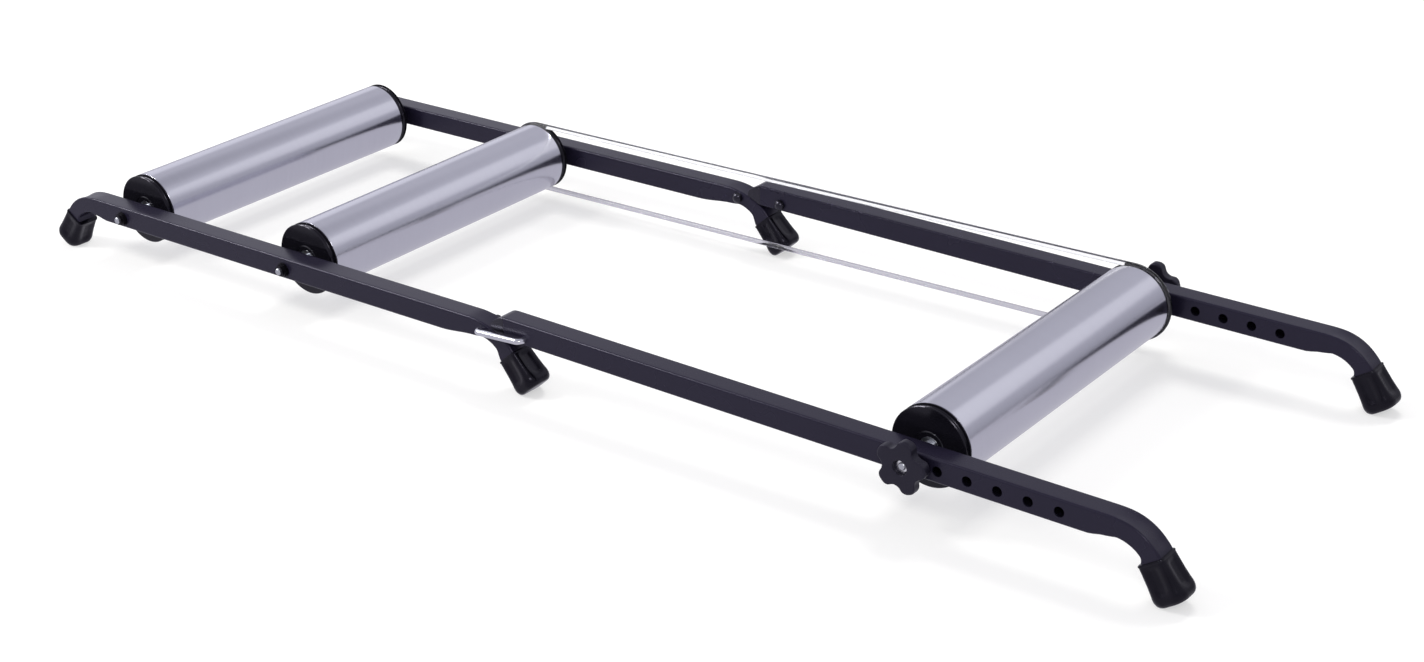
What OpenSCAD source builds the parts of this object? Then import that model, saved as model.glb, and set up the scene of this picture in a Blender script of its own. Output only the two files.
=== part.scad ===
// Folding bike rollers: three drums in a square-tube frame that folds in two.
// The rear frame stands level. The front frame falls slightly towards its feet.
// Places along the rear rails are u, counted from the start of the rear bend.
// Ground is z = 0, +X is the riding direction and +Y is the belt side.

/* [Side rails] */
// Width over the outer faces of the two side rails
frame_width = 476; // [380:1:560]
// Side of the square steel tube
tube_size = 25; // [22:0.1:28]
// Wall of the square tube
tube_wall = 1.5; // [1:0.1:2]
// Outer corner radius of the square tube
tube_corner_r = 2.5; // [2.2:0.1:4]
// Radius of every bend, measured on the outside of the bend
bend_outer_r = 56; // [50:1:64]
// How far the bender pushes the inside wall of a bend in
bend_dent = 5.8; // [3:0.1:7]
// Fall of the front rails towards their feet, in degrees
front_fall = 0.77; // [0.5:0.01:1]
// Height of the front rails' rear end above the rear rails
rail_step = 10.7; // [10.4:0.1:12]
// Length of the straight part of a rear rail
rear_rail_straight = 631.2; // [600:0.1:700]
// Angle of the rear and front legs below the rail
end_leg_angle = 56; // [50:1:62]
// Angle of the centre legs below the rail
centre_leg_angle = 49; // [46:1:52]
// Height from the ground to the top of a rear rail
rail_height = 73.3; // [73:0.1:80]
// Radius of the flattened outside of the centre bend
centre_flat_r = 92; // [88:1:96]
// Length of leg tube inside a rubber foot
leg_in_foot = 30; // [20:1:34]

/* [Fold joint] */
// Distance between the two pivots of a fold link
link_reach = 62; // [58:0.5:66]
// Rear link pivot, ahead of the start of the centre bend
link_rear_ahead = 4.5; // [3:0.5:6]
// Rear link pivot, below the top of the rear rail
link_rear_down = 10.3; // [9:0.1:12]
// Front link pivot, below the top of the front rail
link_front_down = 17; // [16:0.5:18]
// Front link pivot, ahead of the square-cut end of the front rail
link_front_ahead = 29; // [28:0.5:31]
// Diameter of the link rod
link_rod_d = 5; // [4:0.1:6]
// Gap between the link rod and the rail's outer face
link_stand_off = 5.5; // [3.5:0.1:6]
// Centreline radius of the link's corners
link_corner_r = 5.5; // [4:0.1:6]
// Diameter of the push cap on a link end
link_cap_d = 13; // [10:0.5:15]
// Length of the push cap on a link end
link_cap_len = 6.5; // [5.5:0.1:9]
// How far the end plug stands out of the front rail
plug_nose = 18; // [14:0.5:18]
// Length of the plug inside the tube
plug_depth = 20; // [10:1:22]

/* [Drums] */
// Outside diameter of a drum
drum_d = 83.2; // [78:0.1:86]
// Length of the aluminium drum tube
drum_len = 387.4; // [300:0.1:389]
// Wall of the drum tube
drum_wall = 2.6; // [1.5:0.1:4]
// Part of an end cap that stands outside the drum tube
cap_width = 9; // [8.6:0.1:11]
// Depth of the end cap inside the drum tube
cap_spigot = 16; // [12:1:30]
// Distance between the rear drum and the middle drum
rear_drum_pitch = 277.7; // [240:0.1:300]
// Distance from the rear end of a front rail to the front drum
front_drum_ahead = 500.3; // [490:0.1:520]
// Distance from the rear bend to the rear drum
rear_drum_ahead = 57.3; // [50:0.1:70]
// Depth of the rear and middle axles below the top of a rail
rear_axle_down = 14; // [12.5:0.1:15]
// Diameter of the clear round belt
belt_d = 6; // [4.5:0.1:6.4]
// Depth of the belt's centreline below the drum's surface
belt_sunk = 0.6; // [0:0.1:1]

/* [Adjustment holes] */
// Spacing of the holes for the front drum
hole_pitch = 31.75; // [30:0.05:34]
// Number of holes for the front drum
hole_count = 6; // [3:1:6]
// Diameter of every axle hole in the rails
hole_d = 10.6; // [8.4:0.1:11]
// Distance from the front drum's axle to the start of the front bend
front_straight = 211.75; // [200:0.5:240]

/* [Axles and bearings] */
// Diameter of an axle
axle_d = 8; // [8:0.1:8]
// Outside diameter of a bearing
bearing_d = 22; // [20:0.5:26]
// Width of a bearing
bearing_w = 7; // [6:0.5:8]
// Diameter of the spacer between bearing and rail
spacer_d = 12; // [11:0.5:16]
// Size across the flats of an axle nut
nut_flats = 13; // [12:0.5:14]
// Height of an axle nut
nut_h = 5.5; // [5:0.5:9]
// Diameter of an axle washer
washer_d = 17; // [16:0.5:20]
// Thickness of an axle washer
washer_t = 1.2; // [1:0.1:2]
// Length of axle that shows past its nut
axle_end = 2.5; // [2:0.5:6]

/* [Star knobs] */
// Diameter over the lobes
knob_d = 56; // [50:1:60]
// Number of lobes
knob_lobes = 5; // [5:1:6]
// Radius of a lobe's tip
knob_lobe_r = 8.5; // [7.5:0.1:9]
// Thickness of the lobed head
knob_head = 10; // [8:0.5:12]
// Length of the neck between the head and the rail
knob_neck = 4; // [3:0.5:8]
// Diameter of the recess in the knob's face
knob_recess_d = 15; // [12:0.5:18]
// Depth of the recess in the knob's face
knob_recess = 5; // [3:0.5:6]
// Turn at which the right knob was left, in degrees
right_knob_rest = 6; // [-36:1:36]
// Turn at which the left knob was left, in degrees
left_knob_rest = -18; // [-36:1:36]

/* [Rubber feet] */
// Length of a foot
foot_len = 42.6; // [40:0.1:43]
// Half width of a foot at its collar
foot_collar_half = 15; // [14.8:0.1:16]
// Half width of a foot at its rim
foot_rim_half = 17.4; // [17:0.1:20]
// Depth of the flutes in a foot's sides
foot_flute = 0.9; // [0.3:0.1:1.2]
// How much of a rim is pressed flat on the ground
foot_flat = 2.8; // [2:0.1:3.5]

/* [Hidden] */

$fn = 48;
// Radial gap of a shaft that turns in a bore
run_gap = 0.05;
// Gap between faces of pieces that move past each other
face_gap = 0.3;
// Overshoot of a cutting shape
cut = 1;
// Gap of a foot or a plug on its tube
slip_gap = 0.1;
// How much slimmer than its bend a leg is, on every face
leg_step = 0.01;
// How far the flattened outside reaches back from the start of the centre bend, and its length
flat_back = 14;
flat_len = 62;

// Section of the tube
rail_mid_y = frame_width / 2 - tube_size / 2;
rail_in_y = frame_width / 2 - tube_size;
rail_out_y = frame_width / 2;
bend_mid_r = bend_outer_r - tube_size / 2;
bend_inner_r = bend_outer_r - tube_size;

// Places along the rear rails
rear_drum_u = rear_drum_ahead;
middle_drum_u = rear_drum_u + rear_drum_pitch;
link_rear_u = rear_rail_straight + link_rear_ahead;
rear_axle_w = -rear_axle_down;
link_rear_w = -link_rear_down;

// Places along the front rails, from their rear end
front_drum_x = front_drum_ahead;
front_rail_straight = front_drum_x + front_straight;

// Where the front rails' rear end lies, from the places of the two link pivots
link_rise = rail_step - link_front_ahead * sin(front_fall)
    - link_front_down * cos(front_fall) - link_rear_w;
link_run = sqrt(pow(link_reach, 2) - pow(link_rise, 2));
link_turn = atan(link_rise / link_run);
front_rail_u = link_rear_u + link_run - link_front_ahead * cos(front_fall)
    + link_front_down * sin(front_fall);

// Depth below the collar and half width of a foot, level by level
foot_levels = [
    [0, foot_collar_half - 0.9],
    [0.8, foot_collar_half],
    [foot_len * 0.12, foot_collar_half],
    [foot_len * 0.4, foot_collar_half + (foot_rim_half - foot_collar_half) * 0.12],
    [foot_len * 0.62, foot_collar_half + (foot_rim_half - foot_collar_half) * 0.35],
    [foot_len * 0.76, foot_collar_half + (foot_rim_half - foot_collar_half) * 0.75],
    [foot_len * 0.86, foot_rim_half],
    [foot_len - 3, foot_rim_half - 0.2],
    [foot_len - 1, foot_rim_half - 1.2],
    [foot_len, foot_rim_half - 3]
];
// Points round one level of a foot
foot_points = 40;
// How square a foot is: 2 is a circle
foot_square = 5;

// How far a foot reaches below and beyond its collar, on a leg at angle a
function foot_drop(a) = max([for (v = foot_levels) v[0] * sin(a) + v[1] * cos(a)]) - foot_flat;
function foot_reach(a) = max([for (v = foot_levels) v[0] * cos(a) + v[1] * sin(a)]);
// Straight leg between the bend and the collar, for a drop from rail top to ground
function leg_show(drop, a) = (drop - bend_outer_r + bend_mid_r * cos(a) - foot_drop(a)) / sin(a);

// Where a rim meets the ground, past the end of a rail's straight part
end_foot_ahead = bend_mid_r * sin(end_leg_angle) + foot_len * cos(end_leg_angle)
    - foot_rim_half * sin(end_leg_angle);
front_height = (rail_height + rail_step) / cos(front_fall)
    - (front_rail_straight + end_foot_ahead) * tan(front_fall);
centre_leg_show = leg_show(rail_height, centre_leg_angle);
rear_leg_show = leg_show(rail_height, end_leg_angle);
front_leg_show = leg_show(front_height, end_leg_angle);

// The row's origin: on the ground, halfway between the tips of the end feet
rear_tip_u = -(bend_mid_r * sin(end_leg_angle) + rear_leg_show * cos(end_leg_angle)
    + foot_reach(end_leg_angle));
front_leg_world = end_leg_angle + front_fall;
front_tip_u = front_rail_u + front_rail_straight * cos(front_fall)
    - bend_outer_r * sin(front_fall) + bend_mid_r * sin(front_leg_world)
    + front_leg_show * cos(front_leg_world) + foot_reach(front_leg_world);
mid_u = (rear_tip_u + front_tip_u) / 2;

// Drum and cap
drum_r = drum_d / 2;
cap_out_y = drum_len / 2 + cap_width;
belt_y = drum_len / 2 + cap_width / 2;
belt_r = drum_r - belt_sunk;
bearing_inset = 1;
bearing_out_y = cap_out_y - bearing_inset;
spacer_len = rail_in_y - bearing_out_y;

// Ends of the axles and the knobs
nut_out_y = rail_out_y + washer_t + nut_h;
fixed_axle_len = 2 * (nut_out_y + axle_end);
knob_in_y = rail_out_y + face_gap;
knob_out_y = knob_in_y + knob_neck + knob_head;
front_axle_len = 2 * (knob_out_y - knob_recess + 1.5);
insert_d = 12;
insert_len = knob_neck + knob_head - knob_recess;

// The line through the two belt drums
belt_run = front_rail_u - middle_drum_u + front_drum_x * cos(front_fall)
    - tube_size / 2 * sin(front_fall);
belt_rise = rail_step - front_drum_x * sin(front_fall) - tube_size / 2 * cos(front_fall)
    - rear_axle_w;
belt_slope = atan(belt_rise / belt_run);
belt_span = sqrt(pow(belt_run, 2) + pow(belt_rise, 2));

// Sets the frame down on the ground
module on_ground() {
    translate([-mid_u, 0, rail_height])
        children();
}

// Frame of the front rails: x along them from their rear end, z from their top
module in_front() {
    translate([front_rail_u - mid_u, 0, rail_height + rail_step])
        rotate([0, front_fall, 0])
            children();
}

// Turns a shape drawn along Z to lie along Y, outwards on the side given
module along_y(side) {
    rotate([side > 0 ? -90 : 90, 0, 0])
        children();
}

// Rounded square section of the tube, inset all round
module tube_section(inset) {
    s = tube_size - 2 * inset;
    r = tube_corner_r - inset;
    square([s - 2 * r, s], center = true);
    square([s, s - 2 * r], center = true);
    for (x = [-1, 1], y = [-1, 1])
        translate([x * (s / 2 - r), y * (s / 2 - r)])
            circle(r = r, $fn = 32);
}

// One bend and its leg, from the point where the straight part ends
module leg_sweep(inset, angle, leg) {
    reach = 2 * bend_outer_r;
    translate([0, 0, -bend_outer_r]) {
        difference() {
            rotate([90, 0, 0])
                rotate_extrude($fn = 96)
                    translate([bend_mid_r, 0])
                        tube_section(inset);
            translate([-reach, -tube_size, -reach])
                cube([reach, 2 * tube_size, 2 * reach]);
            rotate([0, angle, 0])
                translate([0, -tube_size, -reach])
                    cube([reach, 2 * tube_size, 2 * reach]);
        }
        rotate([0, angle, 0])
            translate([-leg_step * 40, 0, bend_mid_r])
                rotate([0, 90, 0])
                    linear_extrude(leg + leg_step * 40)
                        tube_section(inset + leg_step);
    }
}

// The press mark on the inside of a bend, as a round bar across the tube
module bend_press(angle, grow) {
    translate([0, 0, -bend_outer_r])
        rotate([0, angle / 2, 0])
            translate([0, tube_size, bend_dent])
                rotate([90, 0, 0])
                    cylinder(r = bend_inner_r + grow, h = 2 * tube_size, $fn = 96);
}

// The flattened outside of the centre bend, as everything beyond a large round bar
module bend_flat(grow) {
    difference() {
        translate([-flat_back, -tube_size, -tube_size * 0.8])
            cube([flat_len, 2 * tube_size, tube_size]);
        translate([-flat_back, 2 * tube_size, -centre_flat_r])
            rotate([90, 0, 0])
                cylinder(r = centre_flat_r - grow, h = 4 * tube_size, $fn = 96);
    }
}

// Straight bar of tube section along +X, with its top at z = 0
module straight_sweep(inset, len) {
    translate([0, 0, -tube_size / 2])
        rotate([0, 90, 0])
            linear_extrude(len)
                tube_section(inset);
}

// Round hole across a rail at a place along it
module cross_hole(u, w, d) {
    translate([u, tube_size, w])
        rotate([90, 0, 0])
            cylinder(d = d, h = 2 * tube_size);
}

// Rear rail with a leg at each end, its top at z = 0
module rear_rail() {
    rear_leg = rear_leg_show + leg_in_foot;
    centre_leg = centre_leg_show + leg_in_foot;
    difference() {
        union() {
            straight_sweep(0, rear_rail_straight);
            translate([rear_rail_straight, 0, 0])
                leg_sweep(0, centre_leg_angle, centre_leg);
            mirror([1, 0, 0])
                leg_sweep(0, end_leg_angle, rear_leg);
        }
        difference() {
            union() {
                straight_sweep(tube_wall, rear_rail_straight);
                translate([rear_rail_straight, 0, 0])
                    leg_sweep(tube_wall, centre_leg_angle, centre_leg + cut);
                mirror([1, 0, 0])
                    leg_sweep(tube_wall, end_leg_angle, rear_leg + cut);
            }
            translate([rear_rail_straight, 0, 0]) {
                bend_press(centre_leg_angle, tube_wall);
                bend_flat(tube_wall);
            }
            mirror([1, 0, 0])
                bend_press(end_leg_angle, tube_wall);
        }
        translate([rear_rail_straight, 0, 0]) {
            bend_press(centre_leg_angle, 0);
            bend_flat(0);
        }
        mirror([1, 0, 0])
            bend_press(end_leg_angle, 0);
        cross_hole(rear_drum_u, rear_axle_w, hole_d);
        cross_hole(middle_drum_u, rear_axle_w, hole_d);
        cross_hole(link_rear_u, link_rear_w, link_rod_d + 2 * run_gap);
    }
}

// Front rail, square-cut at the fold and bent down at the front, its top at z = 0
module front_rail() {
    front_leg = front_leg_show + leg_in_foot;
    difference() {
        union() {
            straight_sweep(0, front_rail_straight);
            translate([front_rail_straight, 0, 0])
                leg_sweep(0, end_leg_angle, front_leg);
        }
        difference() {
            union() {
                translate([-cut, 0, 0])
                    straight_sweep(tube_wall, front_rail_straight + cut);
                translate([front_rail_straight, 0, 0])
                    leg_sweep(tube_wall, end_leg_angle, front_leg + cut);
            }
            translate([front_rail_straight, 0, 0])
                bend_press(end_leg_angle, tube_wall);
        }
        translate([front_rail_straight, 0, 0])
            bend_press(end_leg_angle, 0);
        for (i = [0 : hole_count - 1])
            cross_hole(front_drum_x + i * hole_pitch, -tube_size / 2, hole_d);
        cross_hole(link_front_ahead, -link_front_down, link_rod_d + 2 * run_gap);
    }
}

// Distance from the foot's axis to its skin, at turn t and half width h
function skin_r(h, t) =
    h / pow(pow(abs(cos(t)), foot_square) + pow(abs(sin(t)), foot_square), 1 / foot_square);
// Depth of the flutes: three to a side, fading out at the collar and the rim
function flute_at(depth, t) =
    foot_flute * max(0, sin(180 * (depth / foot_len - 0.1) / 0.72))
    * (depth > foot_len * 0.1 && depth < foot_len * 0.82 ? 1 : 0)
    * pow(sin(6 * (t - 45)), 2) * (abs(((t + 45) % 90) - 45) < 30 ? 1 : 0);

// Rubber foot with its collar at z = 0 and its sole below
module foot_body() {
    n = foot_points;
    rows = len(foot_levels);
    points = [
        for (v = foot_levels)
            for (k = [0 : n - 1])
                let (t = 360 * k / n, r = skin_r(v[1], t) - flute_at(v[0], t))
                    [r * cos(t), r * sin(t), -v[0]]
    ];
    sides = [
        for (j = [0 : rows - 2])
            for (k = [0 : n - 1])
                let (a = j * n + k, b = j * n + (k + 1) % n)
                    each [[a, b, b + n], [a, b + n, a + n]]
    ];
    top = [[for (k = [0 : n - 1]) n - 1 - k]];
    sole = [[for (k = [0 : n - 1]) (rows - 1) * n + k]];
    polyhedron(points = points, faces = concat(sides, top, sole), convexity = 4);
}

// Foot pushed on a leg at the angle, its collar a leg's length past the bend
module foot_on_leg(angle, leg_show_len) {
    pocket = tube_size + 2 * slip_gap;
    translate([0, 0, -bend_outer_r])
        rotate([0, angle, 0])
            translate([leg_show_len, 0, bend_mid_r])
                rotate([0, -90, 0])
                    difference() {
                        foot_body();
                        translate([0, 0, cut - leg_in_foot - slip_gap])
                            translate([-pocket / 2, -pocket / 2, -cut])
                                cube([pocket, pocket, leg_in_foot + slip_gap + cut]);
                    }
}

// Everything below the ground
module below_ground() {
    size = 4 * foot_len;
    translate([-size / 2, -size / 2, -size])
        cube([size, size, size]);
}

// A foot of the rear frame, placed at u on the side given and cut flat at the ground
module rear_frame_foot(u, side, angle, leg_show_len, backwards) {
    difference() {
        on_ground()
            translate([u, side * rail_mid_y, 0])
                mirror([backwards, 0, 0])
                    foot_on_leg(angle, leg_show_len);
        translate([u - mid_u, side * rail_mid_y, 0])
            below_ground();
    }
}

// A foot of the front frame on the side given, cut flat at the ground
module front_frame_foot(side) {
    difference() {
        in_front()
            translate([front_rail_straight, side * rail_mid_y, 0])
                foot_on_leg(end_leg_angle, front_leg_show);
        translate([front_tip_u - mid_u, side * rail_mid_y, 0])
            below_ground();
    }
}

// Plastic plug in the square-cut end of a front rail, its flange at x = 0
module end_plug() {
    skin = 0.2;
    top = -skin;
    // The nose runs out over the rear rail's bend in the level frame
    flat_x = rear_rail_straight - front_rail_u - flat_back;
    difference() {
        intersection() {
            translate([0, tube_size / 2, 0])
                rotate([90, 0, 0])
                    linear_extrude(tube_size)
                        polygon([
                            [plug_depth / 2, top], [-plug_nose * 0.2, top - 0.4],
                            [-plug_nose * 0.45, top - 2.4], [-plug_nose * 0.7, top - 5.2],
                            [-plug_nose * 0.9, top - 8.2], [-plug_nose, top - 11],
                            [-plug_nose, top - 20], [0, skin - tube_size],
                            [plug_depth / 2, skin - tube_size]
                        ]);
            translate([-2 * plug_nose, 0, 0])
                straight_sweep(skin, 2 * plug_nose);
        }
        rotate([0, -front_fall, 0])
            translate([flat_x, 2 * tube_size, -rail_step - centre_flat_r])
                rotate([90, 0, 0])
                    cylinder(r = centre_flat_r + face_gap, h = 4 * tube_size, $fn = 96);
    }
    straight_sweep(tube_wall + slip_gap, plug_depth);
}

// U-shaped link rod at the origin pivot, drawn for the side where +Z points outwards
module link_rod() {
    leg_in = tube_size + link_cap_len - 2.5;
    bar_out = link_stand_off + link_rod_d / 2;
    for (x = [0, link_reach])
        translate([x, 0, -leg_in])
            cylinder(d = link_rod_d, h = leg_in + bar_out - link_corner_r);
    translate([link_corner_r, 0, bar_out])
        rotate([0, 90, 0])
            cylinder(d = link_rod_d, h = link_reach - 2 * link_corner_r);
    for (flip = [0, 1])
        translate([flip * link_reach, 0, 0])
            mirror([flip, 0, 0])
                translate([link_corner_r, 0, bar_out - link_corner_r])
                    rotate([90, 0, 0])
                        rotate([0, 0, 90])
                            rotate_extrude(angle = 90)
                                translate([link_corner_r, 0])
                                    circle(d = link_rod_d);
}

// Domed push cap on a rod end, its open face at z = 0 and its dome at -Z
module push_cap() {
    r = link_cap_d / 2;
    difference() {
        union() {
            translate([0, 0, -1.5])
                cylinder(r = r, h = 1.5);
            intersection() {
                translate([0, 0, -link_cap_len])
                    cylinder(r = r - 0.6, h = link_cap_len);
                translate([0, 0, link_cap_d * 0.55 - link_cap_len])
                    sphere(r = link_cap_d * 0.55);
            }
        }
        translate([0, 0, -(link_cap_len - 2.2)])
            cylinder(d = link_rod_d + 2 * run_gap, h = link_cap_len);
    }
}

// Places a shape drawn outwards along Z at the link's pivots, on the side given
module at_link(side) {
    translate([link_rear_u, side * rail_out_y, link_rear_w])
        rotate([0, -link_turn, 0])
            mirror([0, side > 0 ? 1 : 0, 0])
                rotate([90, 0, 0])
                    children();
}

// Axle along Y with chamfered ends
module axle_bar(len) {
    chamfer = 0.8;
    rotate([90, 0, 0])
        translate([0, 0, -len / 2]) {
            translate([0, 0, chamfer])
                cylinder(d = axle_d, h = len - 2 * chamfer);
            for (z = [0, len])
                translate([0, 0, z])
                    mirror([0, 0, z > 0 ? 1 : 0])
                        cylinder(d1 = axle_d - 2 * chamfer, d2 = axle_d, h = chamfer);
        }
}

// Spacer sleeves between the bearings and the rails
module axle_spacers() {
    for (side = [-1, 1])
        translate([0, side * (bearing_out_y + spacer_len / 2), 0])
            rotate([90, 0, 0])
                difference() {
                    cylinder(d = spacer_d, h = spacer_len, center = true);
                    cylinder(d = axle_d + 2 * run_gap, h = spacer_len + 2 * cut, center = true);
                }
}

// Flat washer along Z, standing on z = 0
module washer() {
    difference() {
        cylinder(d = washer_d, h = washer_t);
        translate([0, 0, -cut])
            cylinder(d = axle_d + 2 * run_gap, h = washer_t + 2 * cut);
    }
}

// Lock nut along Z, standing on z = 0, hexagon below and round collar above
module lock_nut() {
    corner_d = nut_flats / cos(30);
    hex_h = nut_h * 0.72;
    difference() {
        union() {
            intersection() {
                cylinder(d = corner_d, h = hex_h, $fn = 6);
                cylinder(d1 = corner_d + 8, d2 = nut_flats, h = nut_h);
            }
            cylinder(d = nut_flats - 1.4, h = nut_h);
        }
        translate([0, 0, -cut])
            cylinder(d = axle_d + 2 * run_gap, h = nut_h + 2 * cut);
    }
}

// Aluminium drum tube along Y
module drum_tube() {
    rotate([90, 0, 0])
        difference() {
            cylinder(r = drum_r, h = drum_len, center = true, $fn = 96);
            cylinder(r = drum_r - drum_wall, h = drum_len + 2 * cut, center = true, $fn = 96);
        }
}

// End cap of a drum, drawn with its outer face at z = cap_width and its spigot below z = 0
module drum_cap() {
    spigot_r = drum_r - drum_wall - slip_gap;
    hub_r = bearing_d / 2 + 4;
    web = 4;
    bore_depth = bearing_inset + bearing_w;
    difference() {
        union() {
            rotate_extrude($fn = 96)
                difference() {
                    polygon([
                        [bearing_d / 2 - 2.5, -cap_spigot], [hub_r, -cap_spigot],
                        [hub_r, cap_width - web], [spigot_r - 3, cap_width - web],
                        [spigot_r - 3, -cap_spigot], [spigot_r - 1, -cap_spigot],
                        [spigot_r, 1 - cap_spigot], [spigot_r, 0],
                        [drum_r, 0], [drum_r, cap_width - 0.8], [drum_r - 0.8, cap_width],
                        [hub_r + 2, cap_width], [hub_r, cap_width - 0.8],
                        [bearing_d / 2 - 2.5, cap_width - 0.8]
                    ]);
                    translate([belt_r, cap_width / 2])
                        circle(r = belt_d / 2 + face_gap, $fn = 48);
                }
            for (k = [0 : 5])
                rotate([0, 0, 60 * k])
                    translate([hub_r - 1, -1.25, -cap_spigot + 3])
                        cube([spigot_r - 3 - hub_r + 2, 2.5, cap_width - web + cap_spigot - 2]);
        }
        translate([0, 0, cap_width - bore_depth])
            cylinder(d = bearing_d, h = bore_depth + cut);
        for (k = [0 : 2])
            rotate([0, 0, 120 * k + 20])
                translate([drum_r * 0.72, 0, cap_width - 0.4])
                    cylinder(d = 2.2, h = cut);
    }
}

// Sealed ball bearing along Z with its outer face at z = 0
module bearing() {
    shield_r = bearing_d / 2 - 2.2;
    bore_r = axle_d / 2 + run_gap;
    rotate_extrude()
        polygon([
            [bore_r, 0.0], [bore_r + 2, 0.0], [bore_r + 2, -0.5], [shield_r, -0.5],
            [shield_r, 0], [bearing_d / 2 - 0.3, 0], [bearing_d / 2, -0.3],
            [bearing_d / 2, 0.3 - bearing_w], [bearing_d / 2 - 0.3, -bearing_w],
            [shield_r, -bearing_w], [shield_r, 0.5 - bearing_w], [bore_r + 2, 0.5 - bearing_w],
            [bore_r + 2, -bearing_w], [bore_r, -bearing_w]
        ]);
}

module drum_cap_on(side) {
    translate([0, side * drum_len / 2, 0])
        along_y(side)
            drum_cap();
}

module drum_bearings() {
    for (side = [-1, 1])
        translate([0, side * bearing_out_y, 0])
            along_y(side)
                bearing();
}

// Outline of the star: lobes on a ring, with hollows that run into them smoothly
module star_outline() {
    ring_r = knob_d / 2 - knob_lobe_r;
    half = 180 / knob_lobes;
    dip_r = knob_lobe_r;
    dip_at = ring_r * cos(half) + sqrt(pow(knob_lobe_r + dip_r, 2) - pow(ring_r * sin(half), 2));
    difference() {
        union() {
            polygon([
                for (k = [0 : 2 * knob_lobes - 1])
                    let (r = k % 2 == 0 ? ring_r : dip_at)
                        [r * cos(k * half), r * sin(k * half)]
            ]);
            for (k = [0 : knob_lobes - 1])
                rotate(2 * k * half)
                    translate([ring_r, 0])
                        circle(r = knob_lobe_r);
        }
        for (k = [0 : knob_lobes - 1])
            rotate((2 * k + 1) * half)
                translate([dip_at, 0])
                    circle(r = dip_r);
    }
}

// Star knob along Z, its neck on z = 0
module star_knob() {
    neck_d = 20;
    edge = 2.5;
    r = knob_d / 2;
    difference() {
        union() {
            cylinder(d1 = neck_d - 2, d2 = neck_d, h = knob_neck);
            intersection() {
                translate([0, 0, knob_neck])
                    linear_extrude(knob_head)
                        star_outline();
                translate([0, 0, knob_neck])
                    rotate_extrude()
                        polygon([
                            [0, 0], [r - edge, 0], [r - edge * 0.3, edge * 0.3], [r, edge],
                            [r, knob_head - edge], [r - edge * 0.3, knob_head - edge * 0.3],
                            [r - edge, knob_head], [0, knob_head]
                        ]);
            }
        }
        translate([0, 0, knob_neck + knob_head - knob_recess])
            cylinder(d = knob_recess_d, h = knob_recess + cut);
        translate([0, 0, -cut])
            cylinder(d = insert_d, h = insert_len + 2 * cut);
    }
}

// Threaded insert moulded into a knob, with its bore on the axle
module knob_insert() {
    difference() {
        cylinder(d = insert_d, h = insert_len);
        translate([0, 0, -cut])
            cylinder(d = axle_d + 2 * run_gap, h = insert_len + 2 * cut);
    }
}

module at_knob(side) {
    translate([front_drum_x, side * knob_in_y, -tube_size / 2])
        along_y(side)
            children();
}

// Round belt over the middle and the front drum
module belt_loop() {
    rotate([0, -belt_slope, 0])
        rotate([90, 0, 0]) {
            for (end = [0, 1])
                translate([end * belt_span, 0, 0])
                    rotate([0, 0, end == 0 ? 90 : -90])
                        rotate_extrude(angle = 180, $fn = 96)
                            translate([belt_r, 0])
                                circle(d = belt_d, $fn = 32);
            for (y = [-belt_r, belt_r])
                translate([0, y, 0])
                    rotate([0, 90, 0])
                        cylinder(d = belt_d, h = belt_span, $fn = 32);
            translate([belt_span * 0.43, -belt_r, 0])
                rotate([0, 90, 0])
                    cylinder(d = belt_d + 0.8, h = 2.5, $fn = 32);
        }
}

// Positions of the three axles, shared by all pieces of one drum
module at_rear_drum(u) {
    on_ground()
        translate([u, 0, rear_axle_w])
            children();
}
module at_front_drum() {
    in_front()
        translate([front_drum_x, 0, -tube_size / 2])
            children();
}

module rear_rail_right() {
    color("#35323d") on_ground() translate([0, -rail_mid_y, 0]) rear_rail();
}
module rear_rail_left() {
    color("#35323d") on_ground() translate([0, rail_mid_y, 0]) rear_rail();
}
module front_rail_right() {
    color("#35323d") in_front() translate([0, -rail_mid_y, 0]) front_rail();
}
module front_rail_left() {
    color("#35323d") in_front() translate([0, rail_mid_y, 0]) front_rail();
}
module rear_foot_right() {
    color("#141317") rear_frame_foot(0, -1, end_leg_angle, rear_leg_show, 1);
}
module rear_foot_left() {
    color("#141317") rear_frame_foot(0, 1, end_leg_angle, rear_leg_show, 1);
}
module centre_foot_right() {
    color("#141317")
        rear_frame_foot(rear_rail_straight, -1, centre_leg_angle, centre_leg_show, 0);
}
module centre_foot_left() {
    color("#141317")
        rear_frame_foot(rear_rail_straight, 1, centre_leg_angle, centre_leg_show, 0);
}
module front_foot_right() {
    color("#141317") front_frame_foot(-1);
}
module front_foot_left() {
    color("#141317") front_frame_foot(1);
}
module end_plug_right() {
    color("#1b1a1f") in_front() translate([0, -rail_mid_y, 0]) end_plug();
}
module end_plug_left() {
    color("#1b1a1f") in_front() translate([0, rail_mid_y, 0]) end_plug();
}
module fold_link_right() {
    color("#c9cbd2") on_ground() at_link(-1) link_rod();
}
module fold_link_left() {
    color("#c9cbd2") on_ground() at_link(1) link_rod();
}
module link_caps() {
    color("#1b1a1f")
        on_ground()
            for (side = [-1, 1], x = [0, link_reach])
                at_link(side)
                    translate([x, 0, -tube_size - face_gap])
                        push_cap();
}
module rear_axle() {
    color("#a9abb3") at_rear_drum(rear_drum_u) axle_bar(fixed_axle_len);
}
module middle_axle() {
    color("#a9abb3") at_rear_drum(middle_drum_u) axle_bar(fixed_axle_len);
}
module front_axle() {
    color("#a9abb3") at_front_drum() axle_bar(front_axle_len);
}
module rear_axle_spacers() {
    color("#b8bac2") at_rear_drum(rear_drum_u) axle_spacers();
}
module middle_axle_spacers() {
    color("#b8bac2") at_rear_drum(middle_drum_u) axle_spacers();
}
module front_axle_spacers() {
    color("#b8bac2") at_front_drum() axle_spacers();
}
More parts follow.
